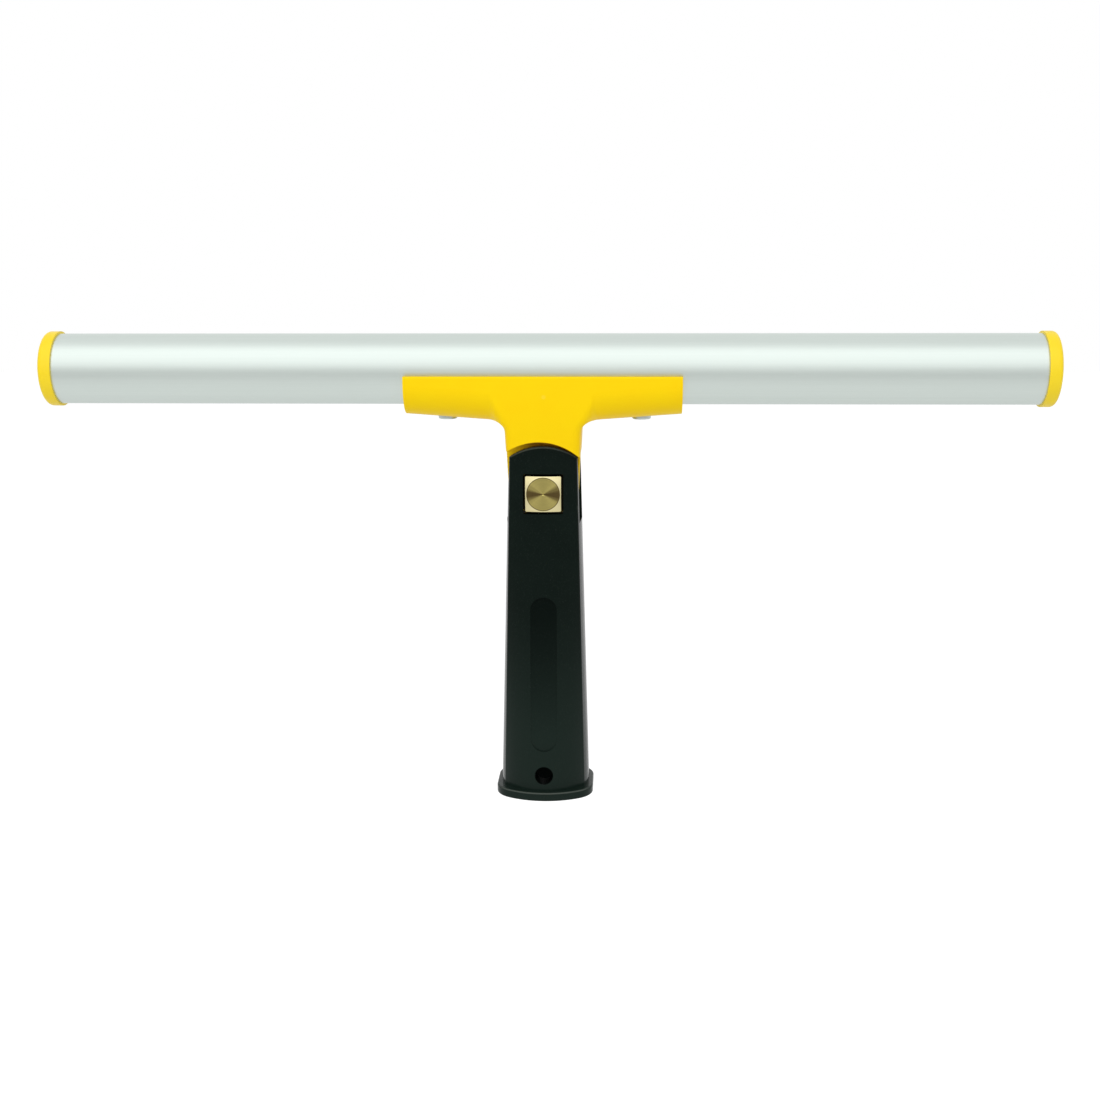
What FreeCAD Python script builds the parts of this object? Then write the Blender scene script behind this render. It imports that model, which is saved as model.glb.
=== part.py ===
import FreeCAD, Part
import math
import os
import Sketcher
from FreeCAD import Placement, Rotation, Vector

# A window strip washer's T-bar: an aluminium tube with two end caps, carried in the cradle of a
# moulded head, which swivels in the forked top of a handle that takes a pole cone.
# The origin is the centre of the pole socket's mouth. +Z runs up the handle to the head, X runs
# along the tube, and the brass lock button faces -Y.

doc = FreeCAD.newDocument("window_strip_washer")

# Driving sizes in millimetres, one plain number to a cell.
DRIVING = [
    # The whole washer
    ("overall_length", 457.0),
    ("pivot_rise", 143.6),
    ("tube_rise", 55.3),
    ("overrun", 1.0),
    ("cut_reach", 40.0),
    # Tube and its end caps
    ("tube_diameter", 32.0),
    ("tube_wall", 1.5),
    ("cap_diameter", 34.0),
    ("cap_rim", 6.1),
    ("cap_edge", 2.2),
    ("cap_floor", 3.0),
    ("spigot_length", 16.0),
    ("spigot_wall", 2.0),
    ("spigot_clearance", 0.1),
    # Moulded head: saddle, neck and tongue
    ("saddle_length", 124.5),
    ("saddle_width", 38.8),
    ("lip_drop", 2.0),
    ("saddle_end_depth", 19.7),
    ("saddle_mid_depth", 24.2),
    ("saddle_rounding", 14.0),
    ("lip_edge", 1.0),
    ("cradle_clearance", 0.1),
    ("neck_width", 34.7),
    ("neck_foot_width", 33.1),
    ("neck_sweep", 4.8),
    ("neck_rounding", 3.5),
    ("neck_depth", 31.6),
    ("face_bend_drop", 8.0),
    ("neck_end", 15.0),
    ("front_shoulder_radius", 26.6),
    ("front_shoulder_side", 1.8),
    ("front_shoulder_drop", 2.8),
    ("rear_shoulder_radius", 24.0),
    ("tongue_width", 31.6),
    ("journal_clearance", 0.08),
    # Self-tapping screws that hold the saddle to the tube
    ("saddle_screw_inset", 18.0),
    ("saddle_screw_head", 8.6),
    ("saddle_screw_head_height", 2.5),
    ("saddle_screw_head_round", 0.7),
    ("saddle_screw_shank", 3.9),
    ("saddle_screw_reach", 3.2),
    ("saddle_screw_point", 1.2),
    ("saddle_screw_recess", 3.6),
    ("saddle_screw_recess_width", 1.0),
    ("saddle_screw_recess_depth", 1.3),
    ("spotface_depth", 0.8),
    ("spotface_clearance", 0.4),
    ("screw_clearance", 0.1),
    # Handle moulding: sizes at the mouth and at the top of its taper
    ("mouth_width", 41.6),
    ("mouth_face_width", 37.6),
    ("mouth_depth", 38.8),
    ("mouth_face_rise", 9.5),
    ("top_width", 32.6),
    ("top_face_width", 30.1),
    ("top_depth", 29.8),
    ("top_face_rise", 1.2),
    ("crease_rounding", 1.2),
    ("flange_width", 45.3),
    ("flange_depth", 45.0),
    ("flange_thickness", 4.1),
    ("flange_front_width", 34.0),
    ("flange_front_radius", 32.0),
    ("flange_corner", 12.0),
    ("flange_edge", 0.8),
    ("arm_reach", 21.7),
    ("arm_end_radius", 26.2),
    ("arm_rim", 1.0),
    ("slot_width", 10.5),
    ("slot_radius", 21.5),
    ("slot_side_reach", 2.0),
    ("window_width", 18.3),
    ("window_corner", 0.6),
    ("spring_pocket_radius", 11.6),
    ("spring_pocket_depth", 12.4),
    ("driver_hole_radius", 5.5),
    ("recess_width", 12.1),
    ("recess_bottom", 23.0),
    ("recess_top", 96.0),
    ("recess_depth", 0.9),
    ("socket_radius", 10.0),
    ("socket_straight", 26.0),
    ("socket_end_radius", 8.4),
    ("socket_depth", 104.0),
    ("lock_hole_radius", 4.2),
    ("lock_hole_rise", 11.4),
    # Brass lock button and the parts clamped to it
    ("button_width", 16.2),
    ("button_corner", 0.5),
    ("button_travel", 2.5),
    ("travel_clearance", 0.3),
    ("turned_radius", 7.6),
    ("turned_bevel", 1.2),
    ("dimple_radius", 0.7),
    ("dimple_depth", 0.5),
    ("journal_radius", 7.0),
    ("nose_radius", 5.0),
    ("nose_clearance", 0.05),
    ("nose_gap", 0.2),
    ("counterbore_clearance", 0.3),
    ("seat_radius", 11.0),
    ("seat_depth", 3.4),
    ("seat_taper", 1.24),
    ("cone_clearance", 0.08),
    ("cone_back", 4.2),
    ("cone_web", 1.6),
    ("bolt_head_radius", 4.8),
    ("bolt_head_height", 2.8),
    ("bolt_shank_radius", 2.9),
    ("bolt_reach", 10.0),
    ("bolt_clearance", 0.05),
    ("bolt_drive_radius", 2.4),
    ("bolt_drive_depth", 1.6),
    # Thrust washers and the coil spring behind the cone
    ("washer_radius", 15.0),
    ("washer_thickness", 0.8),
    ("washer_bore_clearance", 0.5),
    ("running_gap", 0.1),
    ("spring_wire", 1.2),
    ("spring_mean_radius", 8.6),
    ("spring_turns", 3.25),
    ("spring_closed_turns", 0.5),
    ("spring_closed_gap", 0.06),
    ("spring_end_gap", 0.1),
]

# Sizes that follow from the driving ones.
DERIVED = [
    ("tube_height", "pivot_rise + tube_rise"),
    ("tube_radius", "tube_diameter / 2"),
    ("tube_bore_radius", "tube_radius - tube_wall"),
    ("half_length", "overall_length / 2"),
    ("tube_half", "half_length - cap_rim"),
    ("tube_length", "2 * tube_half"),
    ("cap_radius", "cap_diameter / 2"),
    ("cap_round_start", "half_length - cap_edge"),
    ("cap_face_radius", "cap_radius - cap_edge"),
    ("cap_floor_face", "half_length - cap_floor"),
    ("spigot_tip", "tube_half - spigot_length"),
    ("spigot_radius", "tube_bore_radius - spigot_clearance"),
    ("spigot_bore", "spigot_radius - spigot_wall"),
    ("saddle_half", "saddle_length / 2"),
    ("saddle_half_width", "saddle_width / 2"),
    ("lip_height", "tube_height - lip_drop"),
    ("saddle_end_height", "tube_height - saddle_end_depth"),
    ("neck_half", "neck_width / 2"),
    ("neck_foot_half", "neck_foot_width / 2"),
    ("neck_half_depth", "neck_depth / 2"),
    ("neck_top_depth", "saddle_mid_depth - (saddle_mid_depth - saddle_end_depth) * neck_half / saddle_half"),
    ("neck_top_height", "tube_height - neck_top_depth"),
    ("neck_end_height", "pivot_rise + neck_end"),
    ("face_bend_height", "tube_height - face_bend_drop"),
    ("face_bend_length", "face_bend_height - neck_end_height"),
    ("face_bend_depth", "saddle_half_width - neck_half_depth"),
    ("face_bend_radius", "(face_bend_length ^ 2 + face_bend_depth ^ 2) / (2 * face_bend_depth)"),
    ("head_block_width", "2 * saddle_half_width + 2 * overrun"),
    ("head_block_half", "saddle_half_width + overrun"),
    ("head_block_length", "saddle_length + 2 * overrun"),
    ("head_block_top", "lip_height + overrun"),
    ("head_block_foot", "neck_end_height - overrun"),
    ("cradle_radius", "tube_radius + cradle_clearance"),
    ("cradle_half", "saddle_half + overrun"),
    ("cradle_length", "2 * cradle_half"),
    ("tongue_half", "tongue_width / 2"),
    ("tongue_end_height", "pivot_rise - tongue_half"),
    ("tongue_front", "slot_width - washer_thickness - running_gap"),
    ("tongue_back", "washer_thickness + running_gap"),
    ("tongue_thickness", "tongue_front - tongue_back"),
    ("shoulder_height", "pivot_rise - front_shoulder_drop"),
    ("shoulder_cut_length", "cut_reach - tongue_front"),
    ("saddle_screw_station", "saddle_half - saddle_screw_inset"),
    ("saddle_screw_radius", "saddle_screw_shank / 2"),
    ("saddle_screw_head_radius", "saddle_screw_head / 2"),
    ("saddle_screw_hole_radius", "saddle_screw_radius + screw_clearance"),
    ("screw_underside_depth",
     "saddle_mid_depth - (saddle_mid_depth - saddle_end_depth) * saddle_screw_station / saddle_half"),
    ("screw_seat_height", "tube_height - screw_underside_depth + spotface_depth"),
    ("screw_foot_height", "screw_seat_height - saddle_screw_head_height"),
    ("screw_round_height", "screw_foot_height + saddle_screw_head_round"),
    ("screw_foot_radius", "saddle_screw_head_radius - saddle_screw_head_round"),
    ("screw_tip_height", "tube_height - tube_bore_radius + saddle_screw_reach"),
    ("screw_point_height", "screw_tip_height - saddle_screw_point"),
    ("screw_point_radius", "saddle_screw_radius - saddle_screw_point / 2"),
    ("screw_recess_half", "saddle_screw_recess / 2"),
    ("screw_recess_half_width", "saddle_screw_recess_width / 2"),
    ("spotface_radius", "saddle_screw_head_radius + spotface_clearance"),
    ("screw_cut_start", "screw_foot_height - overrun"),
    ("screw_cut_length", "tube_height - screw_cut_start"),
    ("spotface_length", "screw_seat_height - screw_cut_start"),
    ("handle_height", "pivot_rise + arm_reach + overrun"),
    ("mouth_half", "mouth_width / 2"),
    ("mouth_face_half", "mouth_face_width / 2"),
    ("mouth_half_depth", "mouth_depth / 2"),
    ("mouth_crease", "mouth_half_depth - mouth_face_rise"),
    ("mouth_face_radius", "(mouth_face_half ^ 2 + mouth_face_rise ^ 2) / (2 * mouth_face_rise)"),
    ("mouth_side_rise", "mouth_half - mouth_face_half"),
    ("mouth_side_radius", "(mouth_crease ^ 2 + mouth_side_rise ^ 2) / (2 * mouth_side_rise)"),
    ("top_half", "top_width / 2"),
    ("top_face_half", "top_face_width / 2"),
    ("top_half_depth", "top_depth / 2"),
    ("top_crease", "top_half_depth - top_face_rise"),
    ("top_face_radius", "(top_face_half ^ 2 + top_face_rise ^ 2) / (2 * top_face_rise)"),
    ("top_side_rise", "top_half - top_face_half"),
    ("top_side_radius", "(top_crease ^ 2 + top_side_rise ^ 2) / (2 * top_side_rise)"),
    ("face_lean", "(mouth_half_depth - top_half_depth) / handle_height"),
    ("face_at_pivot", "mouth_half_depth - face_lean * pivot_rise"),
    ("flange_half", "flange_width / 2"),
    ("flange_half_depth", "flange_depth / 2"),
    ("flange_front_half", "flange_front_width / 2"),
    ("flange_front_line",
     "flange_half_depth - flange_front_radius + (flange_front_radius ^ 2 - flange_front_half ^ 2) ^ 0.5"),
    ("flange_corner_run", "flange_front_half - flange_half + flange_corner"),
    ("flange_side_line", "flange_front_line - (flange_corner ^ 2 - flange_corner_run ^ 2) ^ 0.5"),
    ("flange_reach", "min(flange_half; flange_half_depth)"),
    ("arm_side_height",
     "pivot_rise + arm_reach - arm_end_radius + (arm_end_radius ^ 2 - mouth_half ^ 2) ^ 0.5"),
    ("slot_half", "top_half + slot_side_reach"),
    ("slot_side_height", "pivot_rise - (slot_radius ^ 2 - slot_half ^ 2) ^ 0.5"),
    ("fork_top_height", "handle_height + overrun"),
    ("window_half", "window_width / 2"),
    ("window_flat", "window_half - window_corner"),
    ("window_top", "pivot_rise + window_half"),
    ("window_high", "pivot_rise + window_flat"),
    ("window_low", "pivot_rise - window_flat"),
    ("window_foot", "pivot_rise - window_half"),
    ("fork_cut_width", "2 * cut_reach"),
    ("recess_half", "recess_width / 2"),
    ("recess_low_centre", "recess_bottom + recess_half"),
    ("recess_high_centre", "recess_top - recess_half"),
    ("recess_floor", "mouth_half_depth - recess_depth"),
    ("recess_cut", "recess_depth + overrun"),
    ("button_half", "button_width / 2"),
    ("button_thickness", "face_at_pivot - slot_width"),
    ("button_flat", "button_half - button_corner"),
    ("button_reach", "button_half * 2 ^ 0.5"),
    ("bevel_face", "face_at_pivot - turned_bevel"),
    ("dimple_floor", "face_at_pivot - dimple_depth"),
    ("seat_floor", "tongue_back + seat_depth"),
    ("seat_floor_radius", "seat_radius - seat_taper"),
    ("counterbore_radius", "button_reach + counterbore_clearance"),
    ("counterbore_floor", "slot_width - button_travel - travel_clearance"),
    ("cone_front", "seat_floor - travel_clearance"),
    ("cone_length", "cone_front - tongue_back"),
    ("cone_radius", "seat_radius - cone_clearance"),
    ("cone_front_radius", "cone_radius - seat_taper * cone_length / seat_depth"),
    ("journal_hole_radius", "journal_radius + journal_clearance"),
    ("cone_web_face", "cone_back - cone_web"),
    ("nose_end", "cone_web_face - nose_gap"),
    ("cone_bore_radius", "nose_radius + nose_clearance"),
    ("bolt_hole_radius", "bolt_shank_radius + bolt_clearance"),
    ("bolt_tip", "bolt_reach - cone_back"),
    ("bolt_hole_end", "bolt_tip + overrun"),
    ("bolt_head_face", "cone_back + bolt_head_height"),
    ("bolt_drive_half", "bolt_drive_radius / 2"),
    ("bolt_drive_flat", "bolt_drive_half * 3 ^ 0.5"),
    ("washer_bore_radius", "counterbore_radius + washer_bore_clearance"),
    ("washer_front_face", "slot_width - washer_thickness"),
    ("spring_start", "cone_back + spring_end_gap"),
    ("spring_end", "spring_pocket_depth - spring_end_gap"),
]

sheet = doc.addObject("Spreadsheet::Sheet", "Sizes")
for row, (alias, number) in enumerate(DRIVING, start=1):
    sheet.set("A%d" % row, alias.replace("_", " "))
    sheet.set("B%d" % row, str(number))
    sheet.setAlias("B%d" % row, alias)
for row, (alias, formula) in enumerate(DERIVED, start=1):
    sheet.set("D%d" % row, alias.replace("_", " "))
    sheet.set("E%d" % row, "=" + formula)
    sheet.setAlias("E%d" % row, alias)
doc.recompute()


def size(term):
    """Return a sheet size by its alias, its negative for an alias with a leading minus, or 0."""
    if term == 0:
        return 0.0
    if term.startswith("-"):
        return -float(sheet.get(term[1:]))
    return float(sheet.get(term))


def formula(term):
    """Return the expression that ties a property to a sheet size."""
    if term.startswith("-"):
        return "-Sizes." + term[1:]
    return "Sizes." + term


def new_body(label, x=0, z=0):
    """Start a body at a height, and at a station along the tube, given as sheet sizes."""
    body = doc.addObject("PartDesign::Body", label)
    if x != 0:
        body.setExpression("Placement.Base.x", formula(x))
    if z != 0:
        body.setExpression("Placement.Base.z", formula(z))
    return body


def add_sketch(body, label, role, level=0):
    """Add a sketch on one of the body's own origin planes, raised along its normal by a sheet size."""
    sketch = body.newObject("Sketcher::SketchObject", label)
    plane = [item for item in body.Origin.OriginFeatures if item.Role == role][0]
    sketch.AttachmentSupport = [(plane, "")]
    sketch.MapMode = "FlatFace"
    if level != 0:
        sketch.setExpression("AttachmentOffset.Base.z", formula(level))
    return sketch


def pin_point(sketch, part, end, x, y):
    """Tie one end of a line or arc, or a circle's centre, to its two sheet sizes."""
    for kind, axis, term in (("DistanceX", -2, x), ("DistanceY", -1, y)):
        if term == 0:
            sketch.addConstraint(Sketcher.Constraint("PointOnObject", part, end, axis))
        else:
            row = sketch.addConstraint(Sketcher.Constraint(kind, -1, 1, part, end, size(term)))
            sketch.setExpression("Constraints[%d]" % row, formula(term))


def draw_outline(sketch, corners):
    """Draw a closed outline through corners of two sheet sizes each. A corner's third entry, if any,
    is the radius of the arc to the next corner, with a leading minus for a clockwise arc."""
    first = sketch.GeometryCount
    ends = []
    for index, corner in enumerate(corners):
        following = corners[(index + 1) % len(corners)]
        start = Vector(size(corner[0]), size(corner[1]), 0)
        finish = Vector(size(following[0]), size(following[1]), 0)
        if len(corner) == 2:
            sketch.addGeometry(Part.LineSegment(start, finish))
            ends.append((1, 2))
            continue
        radius = size(corner[2])
        if radius < 0:
            start, finish = finish, start
        chord = finish - start
        rise = math.sqrt(max(radius ** 2 - chord.Length ** 2 / 4, 0))
        side = Vector(-chord.y, chord.x, 0).normalize()
        centre = (start + finish) / 2 + side * rise
        circle = Part.Circle(centre, Vector(0, 0, 1), abs(radius))
        opening = math.atan2(start.y - centre.y, start.x - centre.x)
        closing = math.atan2(finish.y - centre.y, finish.x - centre.x)
        sketch.addGeometry(Part.ArcOfCircle(circle, opening, closing))
        ends.append((1, 2) if radius > 0 else (2, 1))
    for index, corner in enumerate(corners):
        part = first + index
        following = first + (index + 1) % len(corners)
        joint = (part, ends[index][1], following, ends[following - first][0])
        sketch.addConstraint(Sketcher.Constraint("Coincident", *joint))
        pin_point(sketch, part, ends[index][0], corner[0], corner[1])
        if len(corner) == 3:
            row = sketch.addConstraint(Sketcher.Constraint("Radius", part, abs(size(corner[2]))))
            sketch.setExpression("Constraints[%d]" % row, formula(corner[2].lstrip("-")))


def draw_circle(sketch, x, y, radius):
    """Draw a circle from the sheet sizes of its centre and radius."""
    circle = Part.Circle(Vector(size(x), size(y), 0), Vector(0, 0, 1), size(radius))
    part = sketch.addGeometry(circle)
    pin_point(sketch, part, 3, x, y)
    row = sketch.addConstraint(Sketcher.Constraint("Radius", part, size(radius)))
    sketch.setExpression("Constraints[%d]" % row, formula(radius))


def rounded_rectangle(half_x, half_y, flat_x, flat_y, corner):
    """Return the corners of a rectangle whose flats end at flat_x and flat_y, centred on the sketch."""
    return [
        (half_x, "-" + flat_y),
        (half_x, flat_y, corner),
        (flat_x, half_y),
        ("-" + flat_x, half_y, corner),
        ("-" + half_x, flat_y),
        ("-" + half_x, "-" + flat_y, corner),
        ("-" + flat_x, "-" + half_y),
        (flat_x, "-" + half_y, corner),
    ]


def add_feature(body, kind, sketch, length, reversed_side=False, midplane=False):
    """Add a pad or a pocket of a sheet length to a body."""
    feature = body.newObject("PartDesign::" + kind, sketch.Label + "_" + kind.lower())
    feature.Profile = sketch
    feature.setExpression("Length", formula(length))
    feature.Reversed = reversed_side
    feature.Midplane = midplane
    doc.recompute()
    return feature


def turn(body, kind, sketch, axis):
    """Add a full revolution or a turned groove about an axis of the sketch."""
    feature = body.newObject("PartDesign::" + kind, sketch.Label + "_" + kind.lower())
    feature.Profile = sketch
    feature.ReferenceAxis = (sketch, [axis])
    feature.Angle = 360
    doc.recompute()
    return feature


def edges_where(shape, test):
    """Return the numbers of the edges whose middle point and edge pass the test."""
    numbers = []
    for number, edge in enumerate(shape.Edges, start=1):
        middle = edge.valueAt((edge.FirstParameter + edge.LastParameter) / 2)
        if test(middle, edge):
            numbers.append(number)
    return numbers


def round_edges(body, label, test, radius):
    """Round the edges of a body that pass the test."""
    base = body.Tip
    feature = body.newObject("PartDesign::Fillet", label)
    feature.Base = (base, ["Edge%d" % number for number in edges_where(base.Shape, test)])
    feature.setExpression("Radius", formula(radius))
    doc.recompute()
    return feature


def add_cylinder(label, radius, length, place, direction):
    """Add a cylinder that starts at a place and runs along +X, +Y or +Z."""
    cylinder = doc.addObject("Part::Cylinder", label)
    cylinder.setExpression("Radius", formula(radius))
    cylinder.setExpression("Height", formula(length))
    turns = {"X": Rotation(Vector(0, 1, 0), 90), "Y": Rotation(Vector(1, 0, 0), -90), "Z": Rotation()}
    cylinder.Placement = Placement(Vector(), turns[direction])
    for letter, term in zip("xyz", place):
        if term != 0:
            cylinder.setExpression("Placement.Base." + letter, formula(term))
    return cylinder


# Two lengths closer than this count as the same place when an edge is looked up.
NEAR = 0.05


# Aluminium tube, with a screw hole through its lower wall at each saddle screw.
bar_tube = new_body("bar_tube", z="tube_height")
tube_section = add_sketch(bar_tube, "tube_section", "YZ_Plane")
draw_circle(tube_section, 0, 0, "tube_radius")
draw_circle(tube_section, 0, 0, "tube_bore_radius")
add_feature(bar_tube, "Pad", tube_section, "tube_length", midplane=True)
tube_holes = add_sketch(bar_tube, "tube_screw_holes", "XY_Plane")
draw_circle(tube_holes, "saddle_screw_station", 0, "saddle_screw_hole_radius")
draw_circle(tube_holes, "-saddle_screw_station", 0, "saddle_screw_hole_radius")
add_feature(bar_tube, "Pocket", tube_holes, "cut_reach")


def make_cap(label, turned):
    """Make a push-in end cap: a rounded rim, and a hollow spigot inside the tube."""
    cap = new_body(label, z="tube_height")
    if turned:
        cap.Placement = Placement(Vector(0, 0, size("tube_height")), Rotation(Vector(0, 0, 1), 180))
    section = add_sketch(cap, label + "_section", "XZ_Plane")
    draw_outline(section, [
        ("spigot_tip", "spigot_bore"),
        ("cap_floor_face", "spigot_bore"),
        ("cap_floor_face", 0),
        ("half_length", 0),
        ("half_length", "cap_face_radius", "cap_edge"),
        ("cap_round_start", "cap_radius"),
        ("tube_half", "cap_radius"),
        ("tube_half", "spigot_radius"),
        ("spigot_tip", "spigot_radius"),
    ])
    turn(cap, "Revolution", section, "H_Axis")
    return cap


end_cap_right = make_cap("end_cap_right", False)
end_cap_left = make_cap("end_cap_left", True)


# Head moulding. The blank is a T seen from the front, with swept turns under the arms. Its front and
# rear faces stand upright at the saddle and curve in towards the neck.
head_blank = new_body("head_blank")
head_front = add_sketch(head_blank, "head_front", "XZ_Plane")
draw_outline(head_front, [
    ("-saddle_half", "lip_height"),
    ("-saddle_half", "saddle_end_height"),
    ("-neck_half", "neck_top_height"),
    ("-neck_foot_half", "neck_end_height"),
    ("neck_foot_half", "neck_end_height"),
    ("neck_half", "neck_top_height"),
    ("saddle_half", "saddle_end_height"),
    ("saddle_half", "lip_height"),
])
add_feature(head_blank, "Pad", head_front, "head_block_width", midplane=True)


def is_neck_corner(middle, edge):
    """Tell whether an edge lies in the corner between the neck and an arm's underside."""
    beside = abs(abs(middle.x) - size("neck_half")) < NEAR
    return beside and abs(middle.z - size("neck_top_height")) < NEAR and abs(middle.y) < NEAR


round_edges(head_blank, "neck_sweeps", is_neck_corner, "neck_sweep")
head_side = add_sketch(head_blank, "head_side", "YZ_Plane")
draw_outline(head_side, [
    ("-head_block_half", "head_block_top"),
    ("-head_block_half", "head_block_foot"),
    ("-neck_half_depth", "head_block_foot"),
    ("-neck_half_depth", "neck_end_height", "-face_bend_radius"),
    ("-saddle_half_width", "face_bend_height"),
    ("-saddle_half_width", "head_block_top"),
])
draw_outline(head_side, [
    ("head_block_half", "head_block_foot"),
    ("head_block_half", "head_block_top"),
    ("saddle_half_width", "head_block_top"),
    ("saddle_half_width", "face_bend_height", "-face_bend_radius"),
    ("neck_half_depth", "neck_end_height"),
    ("neck_half_depth", "head_block_foot"),
])
add_feature(head_blank, "Pocket", head_side, "head_block_length", midplane=True)

# The blank's front and rear outline edges are rounded in one flowing run. The four edges round the
# swept turns carry the change, from large at the arm to small at the neck, and the run goes on at
# the same radius out along the arm and down the neck.
outline_runs = []
for number, edge in enumerate(head_blank.Shape.Edges, start=1):
    start = edge.valueAt(edge.FirstParameter)
    finish = edge.valueAt(edge.LastParameter)
    one_side = start.x * finish.x > 0
    turning = abs(start.x - finish.x) > size("neck_sweep") / 2
    inside = max(abs(start.x), abs(finish.x)) < size("saddle_half") - NEAR
    on_face = min(abs(start.y), abs(finish.y)) > size("neck_half_depth") - NEAR
    if not (one_side and turning and inside and on_face):
        continue
    if abs(start.x) > abs(finish.x):
        outline_runs.append((number, size("saddle_rounding"), size("neck_rounding")))
    else:
        outline_runs.append((number, size("neck_rounding"), size("saddle_rounding")))
head_rounded = doc.addObject("Part::Fillet", "head_rounded")
head_rounded.Base = head_blank
head_rounded.Edges = outline_runs
doc.recompute()

# The cradle for the tube, the two shoulders that clear the fork's arms, and the screw holes with
# their spotfaces come out of the rounded blank.
head_cuts = doc.addObject("Part::MultiFuse", "head_cuts")
head_cuts.Shapes = [
    add_cylinder("cradle", "cradle_radius", "cradle_length", ("-cradle_half", 0, "tube_height"), "X"),
    add_cylinder("front_shoulder", "front_shoulder_radius", "shoulder_cut_length",
                 ("-front_shoulder_side", "-cut_reach", "shoulder_height"), "Y"),
    add_cylinder("rear_shoulder", "rear_shoulder_radius", "cut_reach",
                 (0, "-tongue_back", "pivot_rise"), "Y"),
    add_cylinder("right_screw_hole", "saddle_screw_hole_radius", "screw_cut_length",
                 ("saddle_screw_station", 0, "screw_cut_start"), "Z"),
    add_cylinder("left_screw_hole", "saddle_screw_hole_radius", "screw_cut_length",
                 ("-saddle_screw_station", 0, "screw_cut_start"), "Z"),
    add_cylinder("right_spotface", "spotface_radius", "spotface_length",
                 ("saddle_screw_station", 0, "screw_cut_start"), "Z"),
    add_cylinder("left_spotface", "spotface_radius", "spotface_length",
                 ("-saddle_screw_station", 0, "screw_cut_start"), "Z"),
]
head_trimmed = doc.addObject("Part::Cut", "head_trimmed")
head_trimmed.Base = head_rounded
head_trimmed.Tool = head_cuts
doc.recompute()

# The tongue: a flat blade with a round end, a counterbore that takes the pressed button, a journal
# hole, and the tapered seat that the brake cone grips.
tongue_blank = new_body("tongue_blank")
tongue_front_view = add_sketch(tongue_blank, "tongue_outline", "XZ_Plane", "tongue_back")
draw_outline(tongue_front_view, [
    ("-neck_foot_half", "neck_end_height"),
    ("-tongue_half", "pivot_rise", "tongue_half"),
    (0, "tongue_end_height", "tongue_half"),
    ("tongue_half", "pivot_rise"),
    ("neck_foot_half", "neck_end_height"),
])
add_feature(tongue_blank, "Pad", tongue_front_view, "tongue_thickness")
tongue_bore = new_body("tongue_bore", z="pivot_rise")
bore_section = add_sketch(tongue_bore, "bore_section", "XY_Plane")
draw_outline(bore_section, [
    (0, "-slot_width"),
    ("counterbore_radius", "-slot_width"),
    ("counterbore_radius", "-counterbore_floor"),
    ("journal_hole_radius", "-counterbore_floor"),
    ("journal_hole_radius", "-seat_floor"),
    ("seat_floor_radius", "-seat_floor"),
    ("seat_radius", "-tongue_back"),
    ("seat_radius", 0),
    (0, 0),
])
turn(tongue_bore, "Revolution", bore_section, "V_Axis")
head_whole = doc.addObject("Part::MultiFuse", "head_whole")
head_whole.Shapes = [head_trimmed, tongue_blank]
head_whole.Refine = True
doc.recompute()
head_bored = doc.addObject("Part::Cut", "head_bored")
head_bored.Base = head_whole
head_bored.Tool = tongue_bore
doc.recompute()


def is_lip_edge(middle, edge):
    """Tell whether an edge runs along the top of the saddle's lip."""
    long_edge = edge.Length > size("saddle_half")
    return long_edge and abs(middle.z - size("lip_height")) < NEAR


head_moulding = doc.addObject("Part::Fillet", "head_moulding")
head_moulding.Base = head_bored
head_moulding.Edges = [
    (number, size("lip_edge"), size("lip_edge"))
    for number in edges_where(head_bored.Shape, is_lip_edge)
]
doc.recompute()


def make_saddle_screw(label, station):
    """Make a self-tapping pan-head screw that stands upright under the saddle."""
    screw = new_body(label, x=station)
    section = add_sketch(screw, label + "_section", "XZ_Plane")
    draw_outline(section, [
        (0, "screw_foot_height"),
        ("screw_foot_radius", "screw_foot_height", "saddle_screw_head_round"),
        ("saddle_screw_head_radius", "screw_round_height"),
        ("saddle_screw_head_radius", "screw_seat_height"),
        ("saddle_screw_radius", "screw_seat_height"),
        ("saddle_screw_radius", "screw_point_height"),
        ("screw_point_radius", "screw_tip_height"),
        (0, "screw_tip_height"),
    ])
    turn(screw, "Revolution", section, "V_Axis")
    recess = add_sketch(screw, label + "_recess", "XY_Plane", "screw_foot_height")
    draw_outline(recess, [
        ("screw_recess_half_width", "screw_recess_half_width"),
        ("screw_recess_half_width", "screw_recess_half"),
        ("-screw_recess_half_width", "screw_recess_half"),
        ("-screw_recess_half_width", "screw_recess_half_width"),
        ("-screw_recess_half", "screw_recess_half_width"),
        ("-screw_recess_half", "-screw_recess_half_width"),
        ("-screw_recess_half_width", "-screw_recess_half_width"),
        ("-screw_recess_half_width", "-screw_recess_half"),
        ("screw_recess_half_width", "-screw_recess_half"),
        ("screw_recess_half_width", "-screw_recess_half_width"),
        ("screw_recess_half", "-screw_recess_half_width"),
        ("screw_recess_half", "screw_recess_half_width"),
    ])
    add_feature(screw, "Pocket", recess, "saddle_screw_recess_depth", reversed_side=True)
    return screw


saddle_screw_right = make_saddle_screw("saddle_screw_right", "saddle_screw_station")
saddle_screw_left = make_saddle_screw("saddle_screw_left", "-saddle_screw_station")


def handle_section(prefix):
    """Return the outline of the handle at its mouth or its top: four curved faces that meet at
    creases."""
    face_half = prefix + "_face_half"
    crease = prefix + "_crease"
    face_radius = prefix + "_face_radius"
    side_radius = prefix + "_side_radius"
    return [
        (face_half, "-" + crease, side_radius),
        (face_half, crease, face_radius),
        ("-" + face_half, crease, side_radius),
        ("-" + face_half, "-" + crease, face_radius),
    ]


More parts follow.
